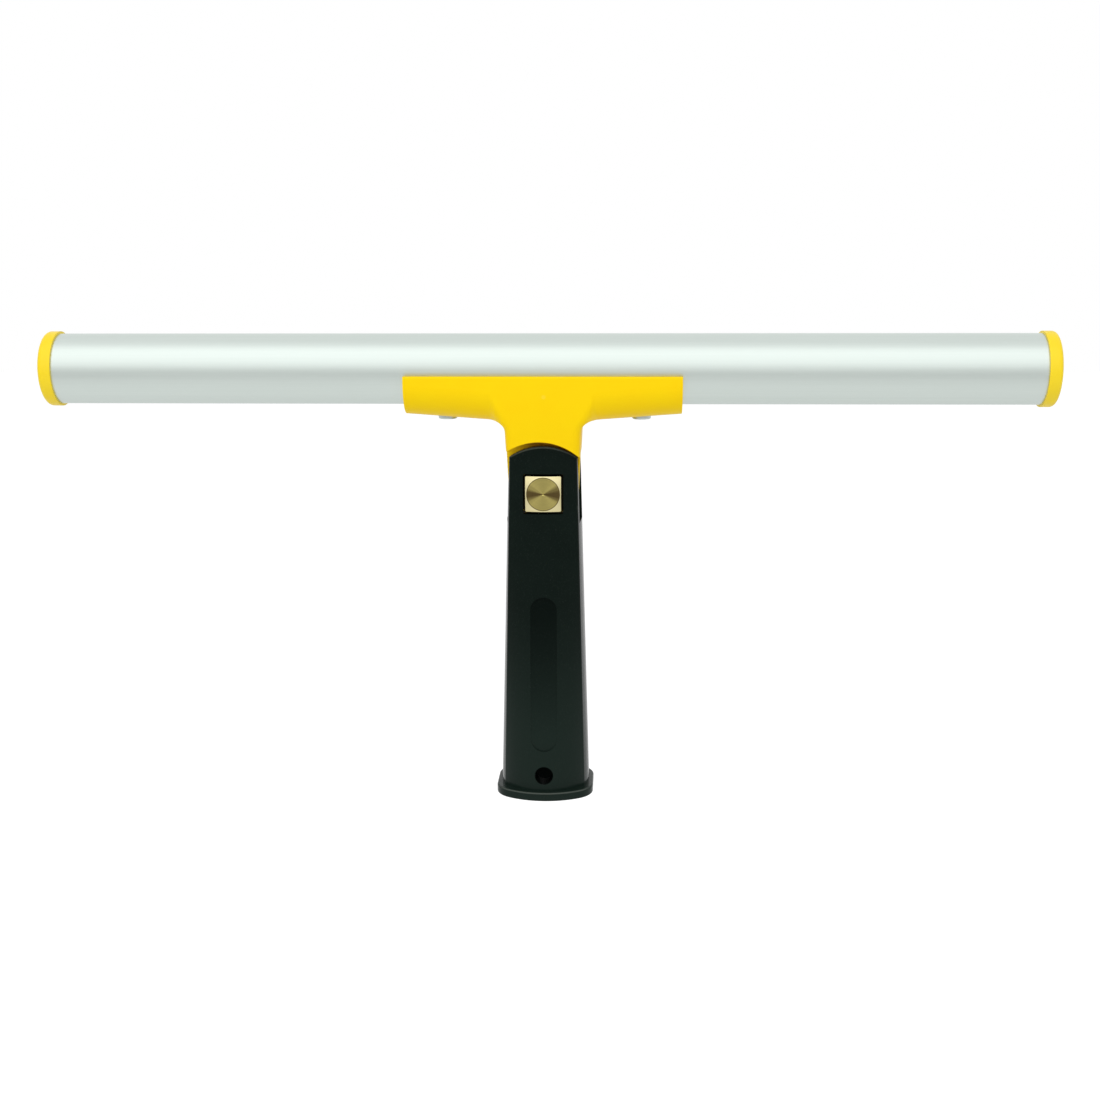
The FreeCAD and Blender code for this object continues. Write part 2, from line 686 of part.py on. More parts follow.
# Handle moulding: a tapered shell with creased faces on a rounded flange.
handle_moulding = new_body("handle_moulding")
mouth_section = add_sketch(handle_moulding, "mouth_section", "XY_Plane")
draw_outline(mouth_section, handle_section("mouth"))
top_section = add_sketch(handle_moulding, "top_section", "XY_Plane", "handle_height")
draw_outline(top_section, handle_section("top"))
doc.recompute()
handle_taper = handle_moulding.newObject("PartDesign::AdditiveLoft", "handle_taper")
handle_taper.Profile = top_section
handle_taper.Sections = [mouth_section]
handle_taper.Ruled = True
doc.recompute()


def is_crease(middle, edge):
    """Tell whether an edge runs up the handle between two of its four faces."""
    return edge.Length > size("pivot_rise")


round_edges(handle_moulding, "crease_rounds", is_crease, "crease_rounding")
flange_outline = add_sketch(handle_moulding, "flange_outline", "XY_Plane")
draw_outline(flange_outline, [
    ("flange_half", "-flange_side_line"),
    ("flange_half", "flange_side_line", "flange_corner"),
    ("flange_front_half", "flange_front_line", "flange_front_radius"),
    ("-flange_front_half", "flange_front_line", "flange_corner"),
    ("-flange_half", "flange_side_line"),
    ("-flange_half", "-flange_side_line", "flange_corner"),
    ("-flange_front_half", "-flange_front_line", "flange_front_radius"),
    ("flange_front_half", "-flange_front_line", "flange_corner"),
])
add_feature(handle_moulding, "Pad", flange_outline, "flange_thickness")


def is_flange_rim(middle, edge):
    """Tell whether an edge runs round the outside of the flange, top or bottom."""
    level = min(abs(middle.z), abs(middle.z - size("flange_thickness")))
    return level < NEAR and math.hypot(middle.x, middle.y) > size("flange_reach") - NEAR


round_edges(handle_moulding, "flange_rim", is_flange_rim, "flange_edge")

# The arms' round ends, the slot for the tongue, the square window for the button, and the pocket
# for the spring behind it.
arm_ends = add_sketch(handle_moulding, "arm_ends", "XZ_Plane")
draw_outline(arm_ends, [
    ("mouth_half", "arm_side_height", "arm_end_radius"),
    ("-mouth_half", "arm_side_height"),
    ("-mouth_half", "fork_top_height"),
    ("mouth_half", "fork_top_height"),
])
add_feature(handle_moulding, "Pocket", arm_ends, "fork_cut_width", midplane=True)


def is_arm_rim(middle, edge):
    """Tell whether an edge borders the rounded top of the fork."""
    start = edge.valueAt(edge.FirstParameter)
    finish = edge.valueAt(edge.LastParameter)
    across = abs(start.y - finish.y) > abs(start.x - finish.x)
    outside = abs(middle.x) > size("button_half") or not across
    return outside and min(start.z, finish.z) > size("arm_side_height")


round_edges(handle_moulding, "arm_rims", is_arm_rim, "arm_rim")
slot_outline = add_sketch(handle_moulding, "slot_outline", "XZ_Plane")
draw_outline(slot_outline, [
    ("-slot_half", "slot_side_height", "slot_radius"),
    ("slot_half", "slot_side_height"),
    ("slot_half", "fork_top_height"),
    ("-slot_half", "fork_top_height"),
])
add_feature(handle_moulding, "Pocket", slot_outline, "slot_width", reversed_side=True)
window_outline = add_sketch(handle_moulding, "window_outline", "XZ_Plane", "slot_width")
draw_outline(window_outline, [
    ("window_half", "window_low"),
    ("window_half", "window_high", "window_corner"),
    ("window_flat", "window_top"),
    ("-window_flat", "window_top", "window_corner"),
    ("-window_half", "window_high"),
    ("-window_half", "window_low", "window_corner"),
    ("-window_flat", "window_foot"),
    ("window_flat", "window_foot", "window_corner"),
])
add_feature(handle_moulding, "Pocket", window_outline, "cut_reach", reversed_side=True)
pocket_outline = add_sketch(handle_moulding, "spring_pocket", "XZ_Plane")
draw_circle(pocket_outline, 0, "pivot_rise", "spring_pocket_radius")
add_feature(handle_moulding, "Pocket", pocket_outline, "spring_pocket_depth")
driver_outline = add_sketch(handle_moulding, "driver_hole", "XZ_Plane")
draw_circle(driver_outline, 0, "pivot_rise", "driver_hole_radius")
add_feature(handle_moulding, "Pocket", driver_outline, "cut_reach")

# The shallow label recess follows the lean of the front face.
recess_outline = add_sketch(handle_moulding, "label_recess", "XZ_Plane", "recess_floor")
recess_outline.AttachmentOffset = Placement(Vector(), Rotation(Vector(-1, 0, 0), 1))
recess_outline.setExpression("AttachmentOffset.Rotation.Angle", "atan(Sizes.face_lean)")
draw_outline(recess_outline, [
    ("recess_half", "recess_low_centre"),
    ("recess_half", "recess_high_centre", "recess_half"),
    (0, "recess_top", "recess_half"),
    ("-recess_half", "recess_high_centre"),
    ("-recess_half", "recess_low_centre", "recess_half"),
    (0, "recess_bottom", "recess_half"),
])
add_feature(handle_moulding, "Pocket", recess_outline, "recess_cut", reversed_side=True)

# The socket for the pole's cone, straight at the mouth and then tapered, and the hole for the
# pole's lock through both walls.
socket_section = add_sketch(handle_moulding, "socket_section", "XZ_Plane")
draw_outline(socket_section, [
    (0, "-overrun"),
    ("socket_radius", "-overrun"),
    ("socket_radius", "socket_straight"),
    ("socket_end_radius", "socket_depth"),
    (0, "socket_depth"),
])
turn(handle_moulding, "Groove", socket_section, "V_Axis")
lock_outline = add_sketch(handle_moulding, "lock_hole", "XZ_Plane")
draw_circle(lock_outline, 0, "lock_hole_rise", "lock_hole_radius")
add_feature(handle_moulding, "Pocket", lock_outline, "fork_cut_width", midplane=True)


def make_ring(label, start, finish):
    """Make a flat thrust washer about the swivel axis between two depths."""
    ring = new_body(label, z="pivot_rise")
    section = add_sketch(ring, label + "_section", "XY_Plane")
    draw_outline(section, [
        ("washer_bore_radius", start),
        ("washer_radius", start),
        ("washer_radius", finish),
        ("washer_bore_radius", finish),
    ])
    turn(ring, "Revolution", section, "V_Axis")
    return ring


thrust_washer_front = make_ring("thrust_washer_front", "-slot_width", "-washer_front_face")
thrust_washer_rear = make_ring("thrust_washer_rear", "-washer_thickness", 0)


# Brass lock button: a square head whose corners fall away from a turned face, on a stepped journal
# that is tapped for the retaining screw.
lock_button = new_body("lock_button", z="pivot_rise")
button_outline = add_sketch(lock_button, "button_outline", "XZ_Plane", "slot_width")
draw_outline(button_outline, rounded_rectangle(
    "button_half", "button_half", "button_flat", "button_flat", "button_corner"))
add_feature(lock_button, "Pad", button_outline, "button_thickness")
journal_section = add_sketch(lock_button, "journal_section", "XY_Plane")
draw_outline(journal_section, [
    (0, "-slot_width"),
    ("journal_radius", "-slot_width"),
    ("journal_radius", "-cone_front"),
    ("nose_radius", "-cone_front"),
    ("nose_radius", "nose_end"),
    (0, "nose_end"),
])
turn(lock_button, "Revolution", journal_section, "V_Axis")
face_cuts = add_sketch(lock_button, "face_cuts", "XY_Plane")
draw_outline(face_cuts, [
    ("turned_radius", "-face_at_pivot"),
    ("button_reach", "-face_at_pivot"),
    ("button_reach", "-bevel_face"),
])
draw_outline(face_cuts, [
    (0, "-face_at_pivot"),
    ("dimple_radius", "-face_at_pivot"),
    (0, "-dimple_floor"),
])
turn(lock_button, "Groove", face_cuts, "V_Axis")
tapped_section = add_sketch(lock_button, "tapped_hole", "XY_Plane")
draw_outline(tapped_section, [
    (0, "-bolt_hole_end"),
    ("bolt_hole_radius", "-bolt_hole_end"),
    ("bolt_hole_radius", "cone_web_face"),
    (0, "cone_web_face"),
])
turn(lock_button, "Groove", tapped_section, "V_Axis")

# Brake cone: a tapered ring on the button's nose, with a web that the retaining screw clamps.
brake_cone = new_body("brake_cone", z="pivot_rise")
cone_section = add_sketch(brake_cone, "cone_section", "XY_Plane")
draw_outline(cone_section, [
    ("cone_bore_radius", "-cone_front"),
    ("cone_front_radius", "-cone_front"),
    ("cone_radius", "-tongue_back"),
    ("cone_radius", "cone_back"),
    ("bolt_hole_radius", "cone_back"),
    ("bolt_hole_radius", "cone_web_face"),
    ("cone_bore_radius", "cone_web_face"),
])
turn(brake_cone, "Revolution", cone_section, "V_Axis")

# Retaining screw, with a hexagon socket reached through the hole in the back of the handle.
retaining_screw = new_body("retaining_screw", z="pivot_rise")
bolt_section = add_sketch(retaining_screw, "bolt_section", "XY_Plane")
draw_outline(bolt_section, [
    (0, "-bolt_tip"),
    ("bolt_shank_radius", "-bolt_tip"),
    ("bolt_shank_radius", "cone_back"),
    ("bolt_head_radius", "cone_back"),
    ("bolt_head_radius", "bolt_head_face"),
    (0, "bolt_head_face"),
])
turn(retaining_screw, "Revolution", bolt_section, "V_Axis")
drive_outline = add_sketch(retaining_screw, "drive_socket", "XZ_Plane", "-bolt_head_face")
draw_outline(drive_outline, [
    ("bolt_drive_radius", 0),
    ("bolt_drive_half", "bolt_drive_flat"),
    ("-bolt_drive_half", "bolt_drive_flat"),
    ("-bolt_drive_radius", 0),
    ("-bolt_drive_half", "-bolt_drive_flat"),
    ("bolt_drive_half", "-bolt_drive_flat"),
])
add_feature(retaining_screw, "Pocket", drive_outline, "bolt_drive_depth", reversed_side=True)

# Coil spring behind the cone, with closed ends. Its centre line is a chain of arc pairs, each pair
# tangent to the coil at both ends, so that the swept wire is made of smooth tube segments.
ARCS_PER_TURN = 6


def coil_point(share):
    """Return the centre line's place and unit tangent at a share of the coil's turns from 0 to 1."""
    turns = size("spring_turns")
    closed_share = size("spring_closed_turns") / turns
    closed_pitch = size("spring_wire") + size("spring_closed_gap")
    height = size("spring_end") - size("spring_start") - size("spring_wire")
    open_rise = height - 2 * closed_pitch * size("spring_closed_turns")
    open_share = 1 - 2 * closed_share
    along = min(max((share - closed_share) / open_share, 0), 1)
    blend = along * along * (3 - 2 * along)
    slope = 6 * along * (1 - along) / open_share if 0 < along < 1 else 0
    angle = 2 * math.pi * turns * share
    radius = size("spring_mean_radius")
    closed_rise = closed_pitch * turns * share
    lift = open_rise - closed_pitch * turns * open_share
    rise = size("spring_start") + size("spring_wire") / 2 + closed_rise + lift * blend
    place = Vector(radius * math.cos(angle), rise, size("pivot_rise") + radius * math.sin(angle))
    swing = 2 * math.pi * turns * radius
    tangent = Vector(-swing * math.sin(angle), closed_pitch * turns + lift * slope,
                     swing * math.cos(angle))
    return place, tangent.normalize()


def arc_between(start, corner, finish):
    """Return the arc from start to finish that is tangent to the lines through the corner."""
    middle = (start + finish) / 2
    half_chord = (finish - start).Length / 2
    bow = (corner - middle).Length
    lean = math.atan2(bow, half_chord)
    crown = middle + (corner - middle) * (half_chord * math.tan(lean / 2) / bow)
    return Part.Arc(start, crown, finish).toShape()


coil_edges = []
arc_count = int(ARCS_PER_TURN * size("spring_turns"))
for step in range(arc_count):
    start, start_way = coil_point(step / arc_count)
    finish, finish_way = coil_point((step + 1) / arc_count)
    gap = finish - start
    lead = gap * (start_way + finish_way)
    spread = 2 * (1 - start_way * finish_way)
    arm = (math.sqrt(lead ** 2 + spread * (gap * gap)) - lead) / spread
    first_corner = start + start_way * arm
    last_corner = finish - finish_way * arm
    joint = (first_corner + last_corner) / 2
    coil_edges.append(arc_between(start, first_corner, joint))
    coil_edges.append(arc_between(joint, last_corner, finish))
coil_line = Part.Wire(coil_edges)
coil_start, coil_way = coil_point(0)
wire_end = Part.Wire(Part.makeCircle(size("spring_wire") / 2, coil_start, coil_way))
button_spring = doc.addObject("Part::Feature", "button_spring")
button_spring.Shape = coil_line.makePipeShell([wire_end], True, False)
doc.recompute()

PIECES = [
    bar_tube,
    end_cap_left,
    end_cap_right,
    head_moulding,
    saddle_screw_left,
    saddle_screw_right,
    handle_moulding,
    thrust_washer_front,
    thrust_washer_rear,
    lock_button,
    brake_cone,
    retaining_screw,
    button_spring,
]
for item in doc.Objects:
    if "Invalid" in item.State or "Error" in item.State:
        raise RuntimeError("%s did not compute: %s" % (item.Label, item.State))
for item in PIECES:
    if item.Shape.isNull() or not item.Shape.isValid() or len(item.Shape.Solids) != 1:
        raise RuntimeError("%s is not one valid solid" % item.Label)
os.makedirs("parts", exist_ok=True)
for item in PIECES:
    item.Shape.exportStep("parts/%s.step" % item.Label)
    print(item.Label, round(item.Shape.Volume), item.Shape.BoundBox)
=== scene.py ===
import math

import bpy
import numpy as np
from mathutils import Matrix, Vector

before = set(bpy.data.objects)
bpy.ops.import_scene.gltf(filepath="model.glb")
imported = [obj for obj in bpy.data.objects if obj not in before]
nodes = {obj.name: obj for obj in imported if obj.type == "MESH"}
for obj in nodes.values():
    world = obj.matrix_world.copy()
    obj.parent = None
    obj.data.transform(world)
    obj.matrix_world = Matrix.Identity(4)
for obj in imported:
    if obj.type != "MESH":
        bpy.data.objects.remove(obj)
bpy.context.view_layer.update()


# The camera stands in front of the brass button and a little above the tube, square to the bar
# but for a slight turn, as in the photograph.
CAMERA_PLACE = Vector((0.03717, -0.7154, 0.2587))
CAMERA_TURN = math.radians(2.79)
CAMERA_TILT = math.radians(11.35)
CAMERA_ROLL = math.radians(-0.206)
CAMERA_LENS = 51.45
CAMERA_SENSOR = 36

forward = Vector((
    -math.sin(CAMERA_TURN) * math.cos(CAMERA_TILT),
    math.cos(CAMERA_TURN) * math.cos(CAMERA_TILT),
    -math.sin(CAMERA_TILT),
))
level_right = forward.cross(Vector((0, 0, 1))).normalized()
level_up = level_right.cross(forward)
right = level_right * math.cos(CAMERA_ROLL) + level_up * math.sin(CAMERA_ROLL)
up = level_up * math.cos(CAMERA_ROLL) - level_right * math.sin(CAMERA_ROLL)
camera_data = bpy.data.cameras.new("studio_camera")
camera_data.sensor_width = CAMERA_SENSOR
camera_data.lens = CAMERA_LENS
camera = bpy.data.objects.new("studio_camera", camera_data)
bpy.context.scene.collection.objects.link(camera)
camera.matrix_world = Matrix((
    (right.x, up.x, -forward.x, CAMERA_PLACE.x),
    (right.y, up.y, -forward.y, CAMERA_PLACE.y),
    (right.z, up.z, -forward.z, CAMERA_PLACE.z),
    (0, 0, 0, 1),
))
bpy.context.scene.camera = camera
bpy.context.scene.view_settings.view_transform = "Standard"


# Tube: a drawn aluminium extrusion with a satin silver anodised skin. Its finish runs along its
# length, in streaks too fine to count, so its highlights spread round the tube.
TUBE_TONES = ((0.600, 0.665, 0.628), (0.655, 0.715, 0.683))
TUBE_ROUGHNESS = (0.36, 0.41)
TUBE_BRUSHING = 0.5
STREAK_STRETCH = (5, 700, 700)
STREAK_SCALE = 2.0


def new_material(name, metallic=0.0):
    """Start a node material and return it with its node tree and its Principled BSDF."""
    material = bpy.data.materials.new(name)
    material.use_nodes = True
    tree = material.node_tree
    shader = tree.nodes["Principled BSDF"]
    shader.inputs["Metallic"].default_value = metallic
    return material, tree, shader


def add_node(tree, kind, settings=None, inputs=None):
    """Add a node with the given settings and unlinked input values."""
    node = tree.nodes.new(kind)
    for name, value in (settings or {}).items():
        setattr(node, name, value)
    for name, value in (inputs or {}).items():
        node.inputs[name].default_value = value
    return node


def object_place(tree):
    """Return the piece's own coordinates, which stay with it when it moves."""
    return add_node(tree, "ShaderNodeTexCoord").outputs["Object"]


def add_noise(tree, vector, scale, detail, roughness=0.5):
    """Add a noise over the given vector and return its value."""
    noise = add_node(tree, "ShaderNodeTexNoise", inputs={
        "Scale": scale, "Detail": detail, "Roughness": roughness})
    tree.links.new(vector, noise.inputs["Vector"])
    return noise.outputs["Fac"]


def carry(tree, value, start, stop, low=0.0, high=1.0, smooth=False):
    """Return low where the value is at start, high where it is at stop, and what lies between for
    the values between, in a straight line or with eased ends. Outside them it holds."""
    span = add_node(tree, "ShaderNodeMapRange", {
        "interpolation_type": "SMOOTHSTEP" if smooth else "LINEAR"}, {
        "From Min": start, "From Max": stop, "To Min": low, "To Max": high})
    tree.links.new(value, span.inputs["Value"])
    return span.outputs["Result"]


def vary(tree, shader, factor, tones, roughness):
    """Let one value that changes over the surface, from 0 to 1, carry the colour from the first
    tone to the second and the roughness from the first limit to the second. Return the colour."""
    colour = add_node(tree, "ShaderNodeMix", {"data_type": "RGBA"}, {
        "A": (*tones[0], 1), "B": (*tones[1], 1)})
    tree.links.new(factor, colour.inputs["Factor"])
    tree.links.new(colour.outputs["Result"], shader.inputs["Base Color"])
    tree.links.new(carry(tree, factor, 0, 1, *roughness), shader.inputs["Roughness"])
    return colour.outputs["Result"]


def cross(tree, first, second):
    """Return the cross product of a first vector and a second, linked one. The first is linked
    too, or is a fixed value."""
    product = add_node(tree, "ShaderNodeVectorMath", {"operation": "CROSS_PRODUCT"})
    if isinstance(first, tuple):
        product.inputs[0].default_value = first
    else:
        tree.links.new(first, product.inputs[0])
    tree.links.new(second, product.inputs[1])
    return product.outputs["Vector"]


def dress(node_name, material):
    """Give a CAD node its material."""
    mesh = nodes[node_name].data
    mesh.materials.clear()
    mesh.materials.append(material)
    mesh.polygons.foreach_set("material_index", np.zeros(len(mesh.polygons), np.int32))


tube_finish, tree, shader = new_material("satin_anodised_aluminium", metallic=1.0)
shader.inputs["Anisotropic"].default_value = TUBE_BRUSHING
stretch = add_node(tree, "ShaderNodeMapping", inputs={"Scale": STREAK_STRETCH})
tree.links.new(object_place(tree), stretch.inputs["Vector"])
streaks = add_noise(tree, stretch.outputs["Vector"], STREAK_SCALE, 4.0, 0.6)
vary(tree, shader, streaks, TUBE_TONES, TUBE_ROUGHNESS)
lengthwise = add_node(tree, "ShaderNodeVectorTransform", {
    "vector_type": "VECTOR", "convert_from": "OBJECT", "convert_to": "WORLD"}, {
    "Vector": (1, 0, 0)})
facing = add_node(tree, "ShaderNodeNewGeometry")
around = cross(tree, lengthwise.outputs["Vector"], facing.outputs["Normal"])
tree.links.new(around, shader.inputs["Tangent"])
dress("bar_tube", tube_finish)


# End caps: yellow plastic, injection moulded, with the faint unevenness of a moulded skin. Each is
# a disc with a rounded rim on a spigot that is pressed into the tube.
CAP_TONES = ((0.94, 0.69, 0.012), (0.97, 0.73, 0.022))
CAP_GLOSS = 0.25
YELLOW_ROUGHNESS = (0.34, 0.42)
YELLOW_GRAIN = {"scale": 2200.0, "share": 0.35, "strength": 0.12, "depth": 0.0003}
UNEVENNESS_SCALE = 90.0


def make_moulded_skin():
    """Build the shared group for a moulded skin: a fine grain over a broad, shallow unevenness."""
    group = bpy.data.node_groups.new("moulded_skin", "ShaderNodeTree")
    for name in ("Grain Scale", "Grain Share"):
        group.interface.new_socket(name, in_out="INPUT", socket_type="NodeSocketFloat")
    for name in ("Height", "Grain", "Tone"):
        group.interface.new_socket(name, in_out="OUTPUT", socket_type="NodeSocketFloat")
    entry = group.nodes.new("NodeGroupInput")
    leave = group.nodes.new("NodeGroupOutput")
    place = object_place(group)
    grain = add_node(group, "ShaderNodeTexNoise", inputs={"Detail": 2.0, "Roughness": 0.6})
    broad = add_noise(group, place, UNEVENNESS_SCALE, 3.0)
    blend = add_node(group, "ShaderNodeMix", {"data_type": "FLOAT"})
    group.links.new(place, grain.inputs["Vector"])
    group.links.new(entry.outputs["Grain Scale"], grain.inputs["Scale"])
    group.links.new(entry.outputs["Grain Share"], blend.inputs["Factor"])
    group.links.new(broad, blend.inputs["A"])
    group.links.new(grain.outputs["Fac"], blend.inputs["B"])
    group.links.new(blend.outputs["Result"], leave.inputs["Height"])
    group.links.new(grain.outputs["Fac"], leave.inputs["Grain"])
    group.links.new(broad, leave.inputs["Tone"])
    return group


moulded_skin = make_moulded_skin()


def add_skin(tree, shader, grain, tones, roughness):
    """Put the moulded skin into a material: its bump, and a slow change of colour and roughness.
    Return the group's node and the colour."""
    skin = add_node(tree, "ShaderNodeGroup", {"node_tree": moulded_skin}, {
        "Grain Scale": grain["scale"], "Grain Share": grain["share"]})
    bump = add_node(tree, "ShaderNodeBump", inputs={
        "Strength": grain["strength"], "Distance": grain["depth"]})
    tree.links.new(skin.outputs["Height"], bump.inputs["Height"])
    tree.links.new(bump.outputs["Normal"], shader.inputs["Normal"])
    return skin, vary(tree, shader, skin.outputs["Tone"], tones, roughness)


cap_plastic, tree, shader = new_material("yellow_cap_plastic")
shader.inputs["Specular IOR Level"].default_value = CAP_GLOSS
add_skin(tree, shader, YELLOW_GRAIN, CAP_TONES, YELLOW_ROUGHNESS)
dress("end_cap_left", cap_plastic)
dress("end_cap_right", cap_plastic)


# Head: the same yellow plastic, a saddle on a neck with a tongue that turns in the fork. Its gate
# left a small pale dot in the middle of its front. Painted shade turns the underside of the front
# shoulder, above the fork, orange-brown, and painted shade blackens the tongue round its bore.
HEAD_TONES = ((1.0, 0.655, 0.0), (1.0, 0.705, 0.0))
HEAD_GLOSS = 0.1
GATE_MARK = Vector((0.0006, -0.0194, 0.1879))
GATE_EDGE = (0.0011, 0.00077)
GATE_PALE = (1.0, 0.76, 0.09)
GATE_STRENGTH = 0.3
SHOULDER_CENTRE = Vector((-0.0018, 0, 0.1408))
SHOULDER_EDGE = (0.0268, 0.0267)
SHOULDER_SHADE = (0.42, 0.16, 0.0)
SHOULDER_SHADE_STRENGTH = 0.85
SHOULDER_SHADE_LEFT = (-0.014, -0.003)
SHOULDER_SHADE_RIGHT = (0.018, 0.013)
SHOULDER_SHADE_BOTTOM = (0.150, 0.158)
PIVOT = Vector((0, 0, 0.1436))
BORE_SHADE = (0.030, 0.022, 0.006)
BORE_SHADE_EDGE = (0.0130, 0.0117)


def flatten(tree, vector):
    """Take the depth, which is the Y part, out of a vector."""
    flat = add_node(tree, "ShaderNodeVectorMath", {"operation": "MULTIPLY"})
    flat.inputs[1].default_value = (1, 0, 1)
    tree.links.new(vector, flat.inputs[0])
    return flat.outputs["Vector"]


def length(tree, vector):
    """Return a vector's length."""
    measure = add_node(tree, "ShaderNodeVectorMath", {"operation": "LENGTH"})
    tree.links.new(vector, measure.inputs[0])
    return measure.outputs["Value"]


def make_swivel_reach():
    """Build the shared group that measures a surface about the swivel: its offset from the pivot,
    and its distance from the swivel's axis, which runs along Y."""
    group = bpy.data.node_groups.new("swivel_reach", "ShaderNodeTree")
    group.interface.new_socket("Offset", in_out="OUTPUT", socket_type="NodeSocketVector")
    group.interface.new_socket("Reach", in_out="OUTPUT", socket_type="NodeSocketFloat")
    leave = group.nodes.new("NodeGroupOutput")
    offset = add_node(group, "ShaderNodeVectorMath", {"operation": "SUBTRACT"})
    offset.inputs[1].default_value = PIVOT
    group.links.new(object_place(group), offset.inputs[0])
    group.links.new(offset.outputs["Vector"], leave.inputs["Offset"])
    reach = length(group, flatten(group, offset.outputs["Vector"]))
    group.links.new(reach, leave.inputs["Reach"])
    return group


swivel_reach = make_swivel_reach()


def distance_from(tree, vector, point):
    """Return a vector's distance from a fixed point."""
    measure = add_node(tree, "ShaderNodeVectorMath", {"operation": "DISTANCE"})
    measure.inputs[1].default_value = point
    tree.links.new(vector, measure.inputs[0])
    return measure.outputs["Value"]


def split_axes(tree, vector):
    """Return a vector's X, Y and Z parts."""
    parts = add_node(tree, "ShaderNodeSeparateXYZ")
    tree.links.new(vector, parts.inputs["Vector"])
    return parts.outputs["X"], parts.outputs["Y"], parts.outputs["Z"]


def combine(tree, operation, *values, clamp=False):
    """Return the result of a sum on values that are each linked or a fixed number."""
    work = add_node(tree, "ShaderNodeMath", {"operation": operation, "use_clamp": clamp})
    for socket, value in zip(work.inputs, values):
        if isinstance(value, float):
            socket.default_value = value
        else:
            tree.links.new(value, socket)
    return work.outputs["Value"]


def paint(tree, mask, under, over):
    """Lay a plain colour over another colour where the mask says, and return the result."""
    coat = add_node(tree, "ShaderNodeMix", {"data_type": "RGBA"}, {"B": (*over, 1)})
    tree.links.new(mask, coat.inputs["Factor"])
    tree.links.new(under, coat.inputs["A"])
    return coat.outputs["Result"]


head_plastic, tree, shader = new_material("yellow_head_plastic")
shader.inputs["Specular IOR Level"].default_value = HEAD_GLOSS
colour = add_skin(tree, shader, YELLOW_GRAIN, HEAD_TONES, YELLOW_ROUGHNESS)[1]
place = object_place(tree)
gate = carry(tree, distance_from(tree, place, GATE_MARK), *GATE_EDGE, 0, GATE_STRENGTH, smooth=True)
colour = paint(tree, gate, colour, GATE_PALE)
# Painted shade: the underside of the front shoulder, above the fork, is painted orange-brown.
from_centre = distance_from(tree, flatten(tree, place), SHOULDER_CENTRE)
underneath = carry(tree, from_centre, *SHOULDER_EDGE)
across, depth, height = split_axes(tree, place)
from_left = carry(tree, across, *SHOULDER_SHADE_LEFT, 0, SHOULDER_SHADE_STRENGTH, smooth=True)
to_right = carry(tree, across, *SHOULDER_SHADE_RIGHT, smooth=True)
from_bottom = carry(tree, height, *SHOULDER_SHADE_BOTTOM)
shoulder_shade = combine(tree, "MULTIPLY",
                combine(tree, "MULTIPLY", from_left, to_right),
                combine(tree, "MULTIPLY", underneath, from_bottom))
colour = paint(tree, shoulder_shade, colour, SHOULDER_SHADE)
# Painted shade: the tongue round its bore is painted near black.
swivel = add_node(tree, "ShaderNodeGroup", {"node_tree": swivel_reach})
bore_shade = carry(tree, swivel.outputs["Reach"], *BORE_SHADE_EDGE, smooth=True)
colour = paint(tree, bore_shade, colour, BORE_SHADE)
tree.links.new(colour, shader.inputs["Base Color"])
dress("head_moulding", head_plastic)


# Saddle screws: zinc-plated pan heads under the two arms of the head, dull with use. They are
# driven up through the saddle into the tube.
ZINC_TONES = ((0.50, 0.56, 0.53), (0.62, 0.68, 0.65))
ZINC_ROUGHNESS = (0.26, 0.42)
SPANGLE_SCALE = 900.0

zinc_plate, tree, shader = new_material("bright_zinc_plate", metallic=1.0)
spangle = add_noise(tree, object_place(tree), SPANGLE_SCALE, 3.0)
vary(tree, shader, spangle, ZINC_TONES, ZINC_ROUGHNESS)
dress("saddle_screw_left", zinc_plate)
dress("saddle_screw_right", zinc_plate)


# Handle: a tapered black moulding with a fine spark-eroded grain, forked at its top and flanged at
# its mouth, with a bare label recess down its front. A painted highlight makes its rounded upper
# rims pale, its colour grows paler towards the bottom, and painted shade darkens the recess's upper
# end and both bores, where the coat is taken away too.
HANDLE_TONES = ((0.0010, 0.0046, 0.0030), (0.0028, 0.0080, 0.0055))
HANDLE_ROUGHNESS = (0.46, 0.58)
HANDLE_GRAIN = {"scale": 2600.0, "share": 0.75, "strength": 0.35, "depth": 0.0004}
HANDLE_GLOSS = 0.02
SHINE_ROUGHNESS = 0.14
SHINE_INDEX = 1.17
GLINTS = (0.022, 0.030, 0.026)
GLINT_LEVELS = (0.60, 0.78)
LOWER_PALE = (0.0075, 0.0160, 0.0120)
LOWER_PALE_HEIGHTS = (0.095, 0.025)
RIM_HIGHLIGHT = (0.060, 0.072, 0.062)
RIM_HIGHLIGHT_SLOPES = (0.12, 0.42)
SHADE_BLACK = (0.0006, 0.0016, 0.0012)
RECESS_HALF_WIDTH = 0.00605
RECESS_TURNS = (0.0290, 0.0900)
RECESS_FADE = (0.030, 0.088)
RECESS_STRENGTH = 0.5
LOCK_HOLE_LEVEL = 0.0114
LOCK_HOLE_RADIUS = 0.0042
SOCKET_RADIUS = 0.0100
SKIN_STEP = 0.0001


